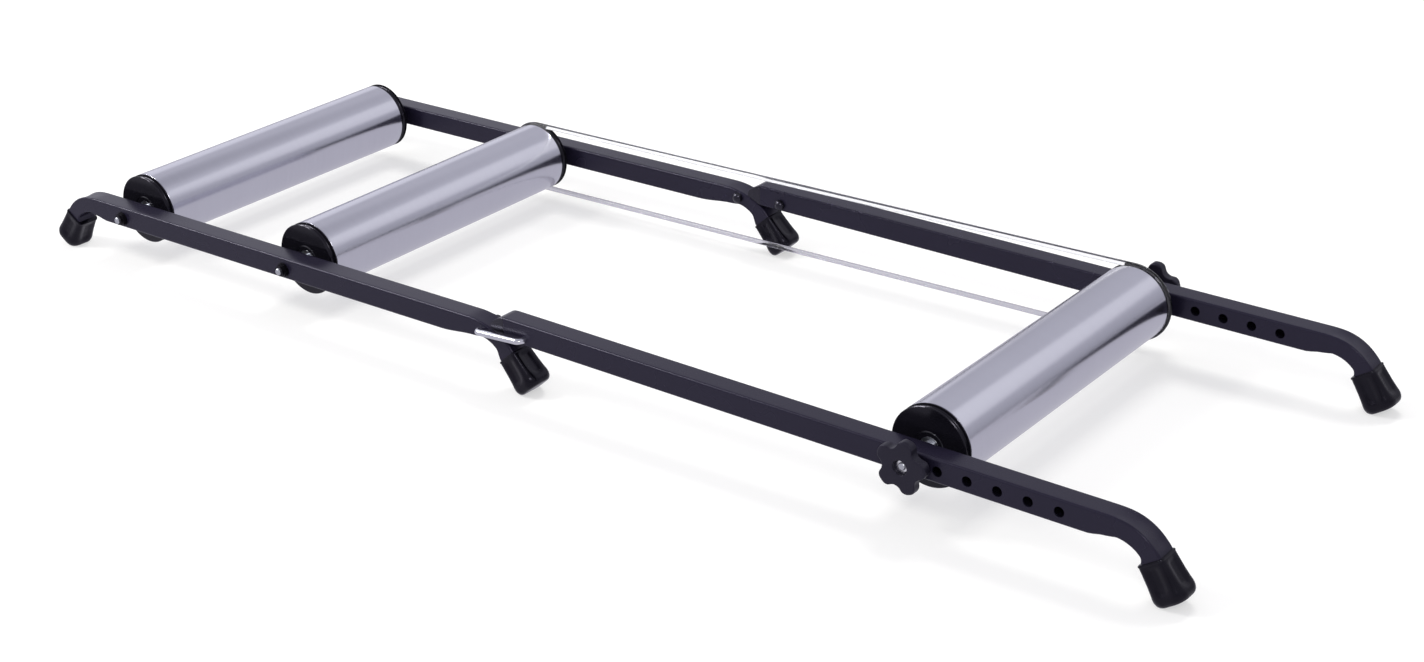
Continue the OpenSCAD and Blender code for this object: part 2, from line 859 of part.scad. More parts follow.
module axle_washers() {
    color("#2a282f")
        for (u = [rear_drum_u, middle_drum_u], side = [-1, 1])
            at_rear_drum(u)
                translate([0, side * rail_out_y, 0])
                    along_y(side)
                        washer();
}
module axle_nuts() {
    color("#2a282f")
        for (u = [rear_drum_u, middle_drum_u], side = [-1, 1])
            at_rear_drum(u)
                translate([0, side * (rail_out_y + washer_t), 0])
                    along_y(side)
                        lock_nut();
}
module rear_drum_tube() {
    color("#b4b4c4") at_rear_drum(rear_drum_u) drum_tube();
}
module rear_drum_cap_right() {
    color("#1b1a1f") at_rear_drum(rear_drum_u) drum_cap_on(-1);
}
module rear_drum_cap_left() {
    color("#1b1a1f") at_rear_drum(rear_drum_u) drum_cap_on(1);
}
module rear_drum_bearings() {
    color("#b8bac2") at_rear_drum(rear_drum_u) drum_bearings();
}
module middle_drum_tube() {
    color("#b4b4c4") at_rear_drum(middle_drum_u) drum_tube();
}
module middle_drum_cap_right() {
    color("#1b1a1f") at_rear_drum(middle_drum_u) drum_cap_on(-1);
}
module middle_drum_cap_left() {
    color("#1b1a1f") at_rear_drum(middle_drum_u) drum_cap_on(1);
}
module middle_drum_bearings() {
    color("#b8bac2") at_rear_drum(middle_drum_u) drum_bearings();
}
module front_drum_tube() {
    color("#b4b4c4") at_front_drum() drum_tube();
}
module front_drum_cap_right() {
    color("#1b1a1f") at_front_drum() drum_cap_on(-1);
}
module front_drum_cap_left() {
    color("#1b1a1f") at_front_drum() drum_cap_on(1);
}
module front_drum_bearings() {
    color("#b8bac2") at_front_drum() drum_bearings();
}
module star_knob_right() {
    color("#222126") in_front() at_knob(-1) rotate(right_knob_rest) star_knob();
}
module star_knob_left() {
    color("#222126") in_front() at_knob(1) rotate(left_knob_rest) star_knob();
}
module knob_insert_right() {
    color("#b8bac2") in_front() at_knob(-1) knob_insert();
}
module knob_insert_left() {
    color("#b8bac2") in_front() at_knob(1) knob_insert();
}
module drive_belt() {
    color("#dfe2ea")
        at_rear_drum(middle_drum_u)
            translate([0, belt_y, 0])
                belt_loop();
}

rear_rail_right();
rear_rail_left();
front_rail_right();
front_rail_left();
rear_foot_right();
rear_foot_left();
centre_foot_right();
centre_foot_left();
front_foot_right();
front_foot_left();
end_plug_right();
end_plug_left();
fold_link_right();
fold_link_left();
link_caps();
rear_axle();
middle_axle();
front_axle();
rear_axle_spacers();
middle_axle_spacers();
front_axle_spacers();
axle_washers();
axle_nuts();
rear_drum_tube();
rear_drum_cap_right();
rear_drum_cap_left();
rear_drum_bearings();
middle_drum_tube();
middle_drum_cap_right();
middle_drum_cap_left();
middle_drum_bearings();
front_drum_tube();
front_drum_cap_right();
front_drum_cap_left();
front_drum_bearings();
star_knob_right();
star_knob_left();
knob_insert_right();
knob_insert_left();
drive_belt();
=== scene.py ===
import math

import bpy
from mathutils import Matrix, Vector


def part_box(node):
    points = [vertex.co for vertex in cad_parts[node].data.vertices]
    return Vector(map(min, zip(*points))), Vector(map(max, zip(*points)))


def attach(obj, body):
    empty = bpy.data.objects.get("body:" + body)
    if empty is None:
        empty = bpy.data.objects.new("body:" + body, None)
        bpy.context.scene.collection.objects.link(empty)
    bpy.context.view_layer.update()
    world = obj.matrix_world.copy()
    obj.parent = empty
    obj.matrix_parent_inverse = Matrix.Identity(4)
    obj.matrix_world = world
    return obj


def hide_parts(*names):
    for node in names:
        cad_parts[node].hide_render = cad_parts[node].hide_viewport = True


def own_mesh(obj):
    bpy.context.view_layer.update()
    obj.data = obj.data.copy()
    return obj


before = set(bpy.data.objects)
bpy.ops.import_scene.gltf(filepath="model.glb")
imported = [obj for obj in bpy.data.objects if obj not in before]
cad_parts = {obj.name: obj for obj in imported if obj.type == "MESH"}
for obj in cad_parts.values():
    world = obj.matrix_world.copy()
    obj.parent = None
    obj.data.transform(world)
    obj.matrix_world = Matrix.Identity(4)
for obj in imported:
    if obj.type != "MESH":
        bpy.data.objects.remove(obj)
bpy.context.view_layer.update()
mm = 0.001
tiny = 1e-6
sides = ("right", "left")
drumNames = ("rear", "middle", "front")


def say(stage):
    print("rollers:", stage)


# a number or a colour on its way through the nodes of a finish
class Wire:
    def __init__(self, finish, socket):
        self.finish = finish
        self.socket = socket

    def calc(self, operation, first, second):
        return self.finish.node("ShaderNodeMath", {"operation": operation}, [first, second])

    def __add__(self, other):
        return self.calc("ADD", self, other)

    def __radd__(self, other):
        return self.calc("ADD", other, self)

    def __sub__(self, other):
        return self.calc("SUBTRACT", self, other)

    def __rsub__(self, other):
        return self.calc("SUBTRACT", other, self)

    def __mul__(self, other):
        return self.calc("MULTIPLY", self, other)


class NodeBoard:
    def __init__(self, tree):
        self.tree = tree

    # adds a node of any type: its settings first, then the values or links of its sockets
    def node(self, kind, settings, values=(), output=0):
        made = self.tree.nodes.new(kind)
        for name, setting in settings.items():
            if name == "stops":
                ramp = made.color_ramp.elements
                for place, colour in setting[1:-1]:
                    ramp.new(place)
                for stop, (place, colour) in zip(ramp, setting):
                    stop.position = place
                    stop.color = (*colour, 1)
            else:
                setattr(made, name, setting)
        pairs = values.items() if isinstance(values, dict) else enumerate(values)
        for key, value in pairs:
            if isinstance(value, Wire):
                self.tree.links.new(value.socket, made.inputs[key])
            else:
                made.inputs[key].default_value = value
        return Wire(self, made.outputs[output])

    def place(self, stretch=(1, 1, 1)):
        spot = self.node("ShaderNodeTexCoord", {}, output="Object")
        return self.node("ShaderNodeMapping", {}, {"Vector": spot, "Scale": stretch})

    def noise(self, scale, detail, stretch=(1, 1, 1)):
        return self.node("ShaderNodeTexNoise", {},
                         {"Vector": self.place(stretch), "Scale": scale, "Detail": detail})

    # a soft step: 0 below low, 1 above high
    def between(self, wire, low, high):
        return self.node("ShaderNodeMapRange", {"interpolation_type": "SMOOTHSTEP"},
                         {"Value": wire, "From Min": low, "From Max": high})

    def rayIs(self, *kinds):
        rays = [self.node("ShaderNodeLightPath", {}, output="Is " + kind + " Ray") for kind in kinds]
        return rays[0] if len(rays) == 1 else rays[0].calc("MAXIMUM", rays[0], rays[1])

    def mixShaders(self, factor, first, second):
        return self.node("ShaderNodeMixShader", {}, {0: factor, 1: first, 2: second})

    def glow(self, strength, kind="ShaderNodeEmission", colour=(1, 1, 1, 1)):
        return self.node(kind, {}, {"Color": colour, "Strength": strength})

    def output(self, kind, shader):
        for old in [node for node in self.tree.nodes if node.bl_idname == kind]:
            self.tree.nodes.remove(old)
        self.tree.links.new(shader.socket, self.tree.nodes.new(kind).inputs["Surface"])

    def blendColours(self, factor, first, second):
        return self.node("ShaderNodeMix", {"data_type": "RGBA"},
                         {0: factor, 6: (*first, 1), 7: (*second, 1)}, output=2)


class Finish(NodeBoard):
    def __init__(self, name, metallic=0.0, **sockets):
        self.material = bpy.data.materials.new(name)
        self.material.use_nodes = True
        super().__init__(self.material.node_tree)
        self.shader = self.tree.nodes["Principled BSDF"]
        self.shader.inputs["Metallic"].default_value = metallic
        for socket, value in sockets.items():
            self.shader.inputs[socket.replace("_", " ")].default_value = value

    def colour(self, wire):
        self.tree.links.new(wire.socket, self.shader.inputs["Base Color"])

    def roughness(self, wire):
        self.tree.links.new(wire.socket, self.shader.inputs["Roughness"])

    def bump(self, height, depth, strength=1.0):
        normal = self.node("ShaderNodeBump", {},
                           {"Height": height, "Distance": depth, "Strength": strength})
        self.tree.links.new(normal.socket, self.shader.inputs["Normal"])


# a black finish: a cloudy colour and shine and, where it has a skin, fine bumps;
# a noise is given by its scale and detail, the shine by its middle and its spread
def makeBlack(name, look):
    finish = Finish(name, Specular_IOR_Level=look["specular"], Specular_Tint=look["tint"])
    cloud = finish.noise(*look["cloud"])
    patches = finish.between(cloud, *look["patches"]) if "patches" in look else cloud
    finish.colour(finish.blendColours(patches, look["dark"], look["light"]))
    shine, spread = look["shine"]
    finish.roughness(shine + (cloud - 0.5) * spread)
    if "skin" in look:
        finish.bump(finish.noise(*look["skin"]), look["skinDepth"], look["skinStrength"])
    return finish.material


# satin powder coat on the steel tube
coat = {
    "dark": (0.0100, 0.0084, 0.0180), "light": (0.0144, 0.0122, 0.0250), "cloud": (9, 4),
    "specular": 0.31, "tint": (0.86, 0.82, 1.0, 1.0), "shine": (0.27, 0.08),
    "skin": (130, 1), "skinDepth": 0.000004, "skinStrength": 1.0,
}
# moulded plastic of the drum caps
capPlastic = {
    "dark": (0.0044, 0.0040, 0.0062), "light": (0.0080, 0.0074, 0.0105), "cloud": (25, 4),
    "specular": 0.30, "tint": (0.88, 0.84, 1.0, 1.0), "shine": (0.19, 0.14),
    "skin": (900, 1), "skinDepth": 0.00002, "skinStrength": 1.0,
}
# shinier plastic of the links' push caps and the rail plugs
capShiny = {
    "dark": capPlastic["dark"], "light": capPlastic["light"], "cloud": (60, 3),
    "specular": 0.55, "tint": (0.84, 0.80, 1.0, 1.0), "shine": (0.17, 0.10),
}
# rubber of the feet, dusty in patches
bootRubber = {
    "dark": (0.0024, 0.0021, 0.0036), "light": (0.0046, 0.0041, 0.0066), "cloud": (60, 6),
    "patches": (0.35, 0.75), "specular": 0.24, "tint": (0.84, 0.80, 1.0, 1.0),
    "shine": (0.22, 0.16), "skin": (700, 2), "skinDepth": 0.00002, "skinStrength": 0.5,
}
# matt plastic of the star knobs
knobPlastic = {
    "dark": (0.0072, 0.0062, 0.0115), "light": (0.0118, 0.0104, 0.0180), "cloud": (40, 5),
    "specular": 0.34, "tint": (0.82, 0.78, 1.0, 1.0), "shine": (0.40, 0.16),
    "skin": (1100, 1), "skinDepth": 0.00006, "skinStrength": 1.0,
}

# turned aluminium of the drums, with fine rings round the drum
drumMetal = {
    "dull": (0.580, 0.575, 0.635), "bright": (0.680, 0.680, 0.745),
    "rings": (1.0, 3, (6, 900, 6)), "ringShare": 0.55,
    "cloud": (1.0, 4, (8, 14, 8)), "cloudShare": 0.45,
    "shine": 0.20, "ringSpread": 0.06, "cloudSpread": 0.08, "ringDepth": 0.000012,
}


def makeDrumMetal():
    finish = Finish("turnedAluminium", metallic=1.0)
    rings = finish.noise(*drumMetal["rings"])
    cloud = finish.noise(*drumMetal["cloud"])
    mix = rings * drumMetal["ringShare"] + cloud * drumMetal["cloudShare"]
    finish.colour(finish.blendColours(mix, drumMetal["dull"], drumMetal["bright"]))
    finish.roughness(drumMetal["shine"] + (rings - 0.5) * drumMetal["ringSpread"]
                     + (cloud - 0.5) * drumMetal["cloudSpread"])
    finish.bump(rings, drumMetal["ringDepth"])
    return finish.material


# plated steel: the looks are the dull and the bright colour and the shine
plating = {
    "cloud": (40, 4), "spread": 0.5,
    "chromePlate": ((0.62, 0.62, 0.67), (0.80, 0.80, 0.85), 0.20),
    "brightBolt": ((0.93, 0.93, 0.95), (1.0, 1.0, 1.0), 0.30),
    "zincPlate": ((0.42, 0.43, 0.46), (0.64, 0.65, 0.69), 0.30),
    "blackZinc": ((0.020, 0.018, 0.024), (0.045, 0.042, 0.050), 0.34),
}


def makePlated(name):
    dull, bright, shine = plating[name]
    finish = Finish(name, metallic=1.0)
    cloud = finish.noise(*plating["cloud"])
    finish.colour(finish.blendColours(cloud, dull, bright))
    finish.roughness(shine + (cloud - 0.5) * shine * plating["spread"])
    return finish.material


# clear round belt; the darker colour of its lower run is painted shade and the paler colour of its
# upper run painted light
beltClear = {
    "low": (0.50, 0.49, 0.56), "high": (0.90, 0.90, 0.94), "paintedShadeHeights": (0.045, 0.085),
    "cloud": (18, 3), "shine": 0.20, "spread": 0.06,
}


def makeBeltClear():
    finish = Finish("clearBelt", IOR=1.42, Transmission_Weight=1.0)
    cloud = finish.noise(*beltClear["cloud"])
    # painted shade and light: the colour goes from the darker low colour to the paler high colour with
    # height
    height = finish.node("ShaderNodeSeparateXYZ", {}, [finish.place()], output="Z")
    paintedLightShare = finish.between(height, *beltClear["paintedShadeHeights"])
    finish.colour(finish.blendColours(paintedLightShare, beltClear["low"], beltClear["high"]))
    finish.roughness(beltClear["shine"] + (cloud - 0.5) * beltClear["spread"])
    return finish.material


say("finishes")
powderCoat = makeBlack("powderCoat", coat)
capBlack = makeBlack("capPlastic", capPlastic)
rubberBlack = makeBlack("bootRubber", bootRubber)
knobBlack = makeBlack("knobPlastic", knobPlastic)
capGloss = makeBlack("capGloss", capShiny)
drumAluminium = makeDrumMetal()
chromePlate = makePlated("chromePlate")
brightBolt = makePlated("brightBolt")
zincPlate = makePlated("zincPlate")
blackZinc = makePlated("blackZinc")
clearBelt = makeBeltClear()


def dress(node, material):
    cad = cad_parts[node]
    if not cad.data.materials:
        cad.data.materials.append(material)
    for number in range(len(cad.data.materials)):
        cad.data.materials[number] = material


say("the packed pieces get their finishes")
for side in sides:
    for node in ("rear_rail_", "front_rail_"):
        dress(node + side, powderCoat)
    for node in ("rear_foot_", "centre_foot_", "front_foot_"):
        dress(node + side, rubberBlack)
    dress("end_plug_" + side, capBlack)
    dress("fold_link_" + side, chromePlate)
    dress("star_knob_" + side, knobBlack)
    dress("knob_insert_" + side, brightBolt)
    for drum in drumNames:
        dress(drum + "_drum_cap_" + side, capBlack)
dress("link_caps", capGloss)
dress("axle_washers", blackZinc)
dress("axle_nuts", blackZinc)
dress("drive_belt", clearBelt)
for drum in drumNames:
    dress(drum + "_drum_tube", drumAluminium)
    dress(drum + "_drum_bearings", zincPlate)
    dress(drum + "_axle", zincPlate)
    dress(drum + "_axle_spacers", zincPlate)


def deselectAll():
    if bpy.context.object and bpy.context.object.mode != "OBJECT":
        bpy.ops.object.mode_set(mode="OBJECT")
    bpy.ops.object.select_all(action="DESELECT")


def makeActive(piece):
    deselectAll()
    piece.select_set(True)
    bpy.context.view_layer.objects.active = piece


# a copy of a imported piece, welded and ready to be worked on
def copyNode(node, name):
    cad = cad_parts[node]
    piece = cad.copy()
    piece.data = cad.data.copy()
    piece.name = name
    for key in list(piece.keys()):
        del piece[key]
    piece.parent = None
    bpy.context.scene.collection.objects.link(piece)
    makeActive(piece)
    bpy.ops.object.mode_set(mode="EDIT")
    bpy.ops.mesh.select_all(action="SELECT")
    bpy.ops.mesh.remove_doubles(threshold=0.01 * mm)
    bpy.ops.object.mode_set(mode="OBJECT")
    return piece


def addModifier(piece, kind, **settings):
    makeActive(piece)
    modifier = piece.modifiers.new(kind.title(), kind)
    for name, value in settings.items():
        setattr(modifier, name, value)
    bpy.ops.object.modifier_apply(modifier=modifier.name)


def finishPiece(piece, material, body, node):
    piece.data.materials.clear()
    piece.data.materials.append(material)
    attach(piece, body)
    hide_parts(node)
    return piece


# rails: a rounded square section drawn along the rail and spun round its bends
rail = {
    "tube": 25 * mm, "corner": 2.5 * mm, "cornerSteps": 5, "faceCuts": 5, "wall": 1.5 * mm,
    "bendOuter": 56 * mm, "bendSteps": 18, "insideFoot": 22 * mm, "legStep": 6 * mm,
    "sideY": 225.5 * mm, "fall": math.radians(0.77), "topRise": 0.02 * mm,
    # from, to and step of the cuts before a bend, in millimetres
    "cutsBefore": (-60, 0, 6),
    "rearStub": 60 * mm, "rearBendBehindDrum": 57.3 * mm, "rearStraight": 631.2 * mm,
    "frontDrumAhead": 500.3 * mm, "frontStraight": 712.05 * mm,
    "hole": 10.6 * mm, "holePitch": 31.75 * mm, "holeCount": 6, "holeFacets": 40,
    "axleDown": 14 * mm, "linkHole": 5.1 * mm,
    "linkRear": (635.7 * mm, -10.3 * mm), "linkFront": (29 * mm, -17 * mm),
    "smoothBelow": math.radians(34), "flatWeight": 80,
}
# what shows of each leg between its bend and its foot
legShow = {"rear": 1.06 * mm, "centre": 8.76 * mm, "front": 1.69 * mm}
# the bends: the angle, and how far the bender presses the inside in and lets the outside sink
# at places along the tube from the bend's start, in millimetres
bends = {
    "crown": 0.2, "hollowPower": 0.7, "flatShare": 0.9,
    "end": {
        "angle": math.radians(56), "press": [(-26, 0), (-6, 3.2), (6, 5.0), (36, 5.4), (50, 0)],
        "hollow": [(-8, 0), (8, 1.6), (34, 1.8), (44, 0)], "flatRadius": None,
    },
    "centre": {
        "angle": math.radians(49), "press": [(-55, 0), (-5, 4.0), (8, 5.4), (30, 5.2), (48, 0)],
        "hollow": [(-16, 0), (4, 0.8), (30, 1.0), (42, 0)],
        "flatRadius": 92 * mm, "flatBack": 14 * mm,
    },
}
drumRear, drumMiddle, drumFront = [
    sum((Vector(corner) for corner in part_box(drum + "_drum_tube")), Vector()) / 2
    for drum in drumNames
]
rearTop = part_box("rear_rail_right")[1].z
frontLow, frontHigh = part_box("front_rail_right")
rearBendX = drumRear.x - rail["rearBendBehindDrum"]
rearRailMatrix = Matrix.Translation((rearBendX, 0, rearTop))
frontStartX = frontLow.x + (rail["tube"] - rail["corner"]) * math.sin(rail["fall"])
frontRailMatrix = (
    Matrix.Translation((frontStartX, 0, frontHigh.z - rail["topRise"]))
    @ Matrix.Rotation(rail["fall"], 4, "Y")
)


# value at a place on a polyline of (place, value), eased between its points
def easedAt(points, place):
    for (left, before), (right, after) in zip(points, points[1:]):
        if left <= place <= right:
            share = (place - left) / (right - left)
            share = share * share * (3 - 2 * share)
            return before + (after - before) * share
    return 0.0


def selectVerts(piece, test):
    bpy.ops.object.mode_set(mode="EDIT")
    bpy.ops.mesh.select_mode(type="VERT")
    bpy.ops.mesh.select_all(action="DESELECT")
    bpy.ops.object.mode_set(mode="OBJECT")
    for vertex in piece.data.vertices:
        vertex.select = test(vertex.co)
    bpy.ops.object.mode_set(mode="EDIT")


# the section stands at x = 0 with its top at z = 0, with extra points across its top and bottom
def railSection():
    half = rail["tube"] / 2
    deselectAll()
    bpy.ops.mesh.primitive_plane_add(size=rail["tube"], location=(0, 0, -half),
                                     rotation=(0, math.pi / 2, 0))
    piece = bpy.context.object
    bpy.ops.object.transform_apply(location=True, rotation=True)
    bpy.ops.object.mode_set(mode="EDIT")
    bpy.ops.mesh.select_all(action="SELECT")
    bpy.ops.mesh.bevel(offset=rail["corner"], offset_type="OFFSET", segments=rail["cornerSteps"],
                       affect="VERTICES")
    bpy.ops.mesh.select_all(action="SELECT")
    bpy.ops.mesh.delete(type="ONLY_FACE")
    bpy.ops.mesh.select_mode(type="EDGE")
    bpy.ops.object.mode_set(mode="OBJECT")
    for edge in piece.data.edges:
        first, second = [piece.data.vertices[number].co for number in edge.vertices]
        edge.select = abs(first.z - second.z) < tiny and abs(first.y - second.y) > half
    bpy.ops.object.mode_set(mode="EDIT")
    bpy.ops.mesh.subdivide(number_cuts=rail["faceCuts"])
    bpy.ops.object.mode_set(mode="OBJECT")
    return piece


def extrudeEnd(piece, test, shift):
    selectVerts(piece, test)
    bpy.ops.mesh.extrude_region_move(TRANSFORM_OT_translate={"value": shift})
    bpy.ops.object.mode_set(mode="OBJECT")


# straight run along +X to the bend's start, in steps that the press needs, then the bend and its leg
def sweepRail(piece, start, straight, bend, show):
    stops = [straight + place * mm for place in range(*rail["cutsBefore"])]
    here = start
    for stop in [place for place in stops if place > start] + [straight]:
        extrudeEnd(piece, lambda co: abs(co.x - here) < tiny, (stop - here, 0, 0))
        here = stop
    selectVerts(piece, lambda co: abs(co.x - straight) < tiny)
    bpy.ops.mesh.spin(steps=rail["bendSteps"], angle=-bend["angle"],
                      center=(straight, 0, -rail["bendOuter"]), axis=(0, 1, 0))
    bpy.ops.object.mode_set(mode="OBJECT")
    along = Vector((math.cos(bend["angle"]), 0, -math.sin(bend["angle"])))
    centre = Vector((straight, 0, -rail["bendOuter"]))
    short = rail["legStep"]
    length = 0.0
    for step in (short, short, show + rail["insideFoot"] - 2 * short):
        extrudeEnd(piece, lambda co: abs((co - centre).dot(along) - length) < tiny and co.x > straight,
                   along * step)
        length += step


# the bender's marks: the inside is pressed in, the outside sinks between its edges
def pressBend(piece, straight, bend):
    radius, tube = rail["bendOuter"], rail["tube"]
    middle = radius - tube / 2
    for vertex in piece.data.vertices:
        x, z = vertex.co.x - straight, vertex.co.z + radius
        theta = min(max(math.atan2(x, z), 0.0), bend["angle"]) if x > 0 else 0.0
        normal = Vector((math.sin(theta), 0, math.cos(theta)))
        along = Vector((math.cos(theta), 0, -math.sin(theta)))
        place = middle * theta + Vector((x, 0, z)).dot(along)
        depth = radius - Vector((x, 0, z)).dot(normal)
        across = 1 - (vertex.co.y / (tube / 2)) ** 2
        if depth > tube / 2:
            move = -easedAt(bend["press"], place / mm) * mm * (1 + bends["crown"] * across)
        else:
            share = max(across, 0) ** bends["hollowPower"]
            move = easedAt(bend["hollow"], place / mm) * mm * share
            if bend["flatRadius"]:
                back, flat = x + bend["flatBack"], bend["flatRadius"]
                if 0 < back < flat * bends["flatShare"] and depth < rail["corner"]:
                    arc = math.sqrt(flat ** 2 - back ** 2) - flat
                    move += max((vertex.co.z - arc) * math.cos(theta) + depth, 0.0)
        vertex.co -= normal * move


def boreRail(piece, bores):
    for x, z, diameter in bores:
        deselectAll()
        bpy.ops.mesh.primitive_cylinder_add(
            vertices=rail["holeFacets"], radius=diameter / 2, depth=rail["tube"] * 2,
            location=(x, 0, z), rotation=(math.pi / 2, 0, 0))
        drill = bpy.context.object
        bpy.ops.object.transform_apply(location=True, rotation=True)
        addModifier(piece, "BOOLEAN", operation="DIFFERENCE", object=drill, solver="EXACT")
        bpy.data.objects.remove(drill)


# from the middle of the frame out to one side's rail
def toSide(side):
    return Matrix.Translation((0, rail["sideY"] * (1 if side == "left" else -1), 0))


def finishRail(piece, matrix, side, name, body, node):
    makeActive(piece)
    bpy.ops.object.shade_smooth_by_angle(angle=rail["smoothBelow"])
    addModifier(piece, "WEIGHTED_NORMAL", weight=rail["flatWeight"], keep_sharp=True)
    piece.data.transform(toSide(side) @ matrix)
    piece.name = name + "_" + side
    finishPiece(piece, powderCoat, body, node + side)


# the drawn skin becomes a tube with a wall
def thicken(piece):
    makeActive(piece)
    bpy.ops.object.mode_set(mode="EDIT")
    bpy.ops.mesh.select_all(action="SELECT")
    bpy.ops.mesh.remove_doubles(threshold=0.005 * mm)
    bpy.ops.mesh.normals_make_consistent(inside=False)
    bpy.ops.object.mode_set(mode="OBJECT")
    addModifier(piece, "SOLIDIFY", thickness=rail["wall"], offset=-1.0)


say("rails")
mirrorX = Matrix.Scale(-1, 4, (1, 0, 0))
stub = rail["rearStub"]
for side in sides:
    # the rear bend is drawn on a stub, turned round, and the rail goes on from there
    rearRail = railSection()
    sweepRail(rearRail, 0.0, stub, bends["end"], legShow["rear"])
    pressBend(rearRail, stub, bends["end"])
    rearRail.data.transform(mirrorX @ Matrix.Translation((-stub, 0, 0)))
    makeActive(rearRail)
    extrudeEnd(rearRail, lambda co: abs(co.x - stub) < tiny, (rail["rearStraight"] - 2 * stub, 0, 0))
    sweepRail(rearRail, rail["rearStraight"] - stub, rail["rearStraight"], bends["centre"],
              legShow["centre"])
    pressBend(rearRail, rail["rearStraight"], bends["centre"])
    thicken(rearRail)
    boreRail(rearRail, [
        (drumRear.x - rearBendX, -rail["axleDown"], rail["hole"]),
        (drumMiddle.x - rearBendX, -rail["axleDown"], rail["hole"]),
        (*rail["linkRear"], rail["linkHole"]),
    ])
    finishRail(rearRail, rearRailMatrix, side, "rearRail", "rear_frame", "rear_rail_")

    frontRail = railSection()
    sweepRail(frontRail, 0.0, rail["frontStraight"], bends["end"], legShow["front"])
    pressBend(frontRail, rail["frontStraight"], bends["end"])
    thicken(frontRail)
    boreRail(frontRail, [
        (rail["frontDrumAhead"] + number * rail["holePitch"], -rail["tube"] / 2, rail["hole"])
        for number in range(rail["holeCount"])
    ] + [(*rail["linkFront"], rail["linkHole"])])
    finishRail(frontRail, frontRailMatrix, side, "frontRail", "front_frame", "front_rail_")

# drums: turned tube with its edges rolled round
drumTube = {
    "radius": 41.6 * mm, "length": 387.4 * mm, "wall": 2.6 * mm, "facets": 128,
    "rolledEdge": 1.2 * mm, "rolledSteps": 5, "rolledAbove": math.radians(50),
    "smoothBelow": math.radians(20), "flatWeight": 100,
}


def makeDrum(name, centre, body):
    deselectAll()
    bpy.ops.mesh.primitive_cylinder_add(
        vertices=drumTube["facets"], radius=drumTube["radius"], depth=drumTube["length"],
        end_fill_type="NOTHING", rotation=(math.pi / 2, 0, 0), location=centre)
    drum = bpy.context.object
    bpy.ops.object.transform_apply(location=True, rotation=True)
    addModifier(drum, "SOLIDIFY", thickness=drumTube["wall"], offset=-1.0)
    addModifier(drum, "BEVEL", width=drumTube["rolledEdge"], segments=drumTube["rolledSteps"],
                limit_method="ANGLE", angle_limit=drumTube["rolledAbove"])
    makeActive(drum)
    bpy.ops.object.shade_smooth_by_angle(angle=drumTube["smoothBelow"])
    addModifier(drum, "WEIGHTED_NORMAL", weight=drumTube["flatWeight"], keep_sharp=True)
    drum.name = name + "DrumTube"
    finishPiece(drum, drumAluminium, body, name + "_drum_tube")


say("drums")
makeDrum("rear", drumRear, "rear_drum")
makeDrum("middle", drumMiddle, "middle_drum")
makeDrum("front", drumFront, "front_drum")

# rubber feet: a round block of many facets, its rings drawn out to rounded squares with sunk panels
boot = {
    "length": 42.6 * mm, "facets": 96, "blank": 15 * mm, "step": 1.1, "smoothBelow": math.radians(42),
    # depth below the collar's edge, half width and corner radius, in millimetres
    "levels": [
        (0, 13.4, 3.8), (0.4, 14.1, 4.2), (1.5, 14.4, 4.5), (2.3, 14.0, 4.5), (8, 14.3, 5.0),
        (20, 15.1, 6.0), (28, 16.1, 7.6), (32, 16.9, 9.0), (35, 17.4, 10.6), (37.2, 17.4, 11.6),
        (39.4, 16.9, 11.8), (41.2, 15.7, 11.2), (42.2, 14.4, 10.4), (42.6, 13.0, 9.4),
    ],
    # the sunk panel: half width and depth, where it starts and ends, and how its foot arches
    "panelWide": 9.6, "panelDeep": 1.5, "panelSoft": 0.75,
    "panelFrom": (2.5, 9.0), "panelTo": (27.0, 34.5), "panelArch": 6.0,
}


# a direction's angle from the middle of the square's nearest side
def fromSide(direction):
    return (direction + math.pi / 4) % (math.pi / 2) - math.pi / 4


# distance from the middle to a rounded square's edge in a direction
def squareReach(direction, half, corner):
    turned = abs(fromSide(direction))
    if half * math.tan(turned) <= half - corner:
        return half / math.cos(turned)
    inner = half - corner
    along = inner * (math.cos(turned) + math.sin(turned))
    return along + math.sqrt(max(along ** 2 - 2 * inner ** 2 + corner ** 2, 0))


def levelAt(depth):
    for (above, *upper), (below, *lower) in zip(boot["levels"], boot["levels"][1:]):
        if depth <= below + tiny:
            share = max((depth - above) / (below - above), 0)
            return [first + (second - first) * share for first, second in zip(upper, lower)]
    return boot["levels"][-1][1:]


# each side carries one sunk panel with an arched foot
def panelDepth(direction, half, depth):
    aside = min(abs(half * math.tan(fromSide(direction))) / boot["panelWide"], 1)
    starts, ends = [
        min(max((depth + boot["panelArch"] * aside ** 2 * lower - first) / (last - first), 0), 1)
        for (first, last), lower in ((boot["panelFrom"], 0), (boot["panelTo"], 1))
    ]
    side = min((1 - aside) / boot["panelSoft"], 1)
    share = 1.0
    for part in (starts, 1 - ends, side):
        share *= part * part * (3 - 2 * part)
    return boot["panelDeep"] * share


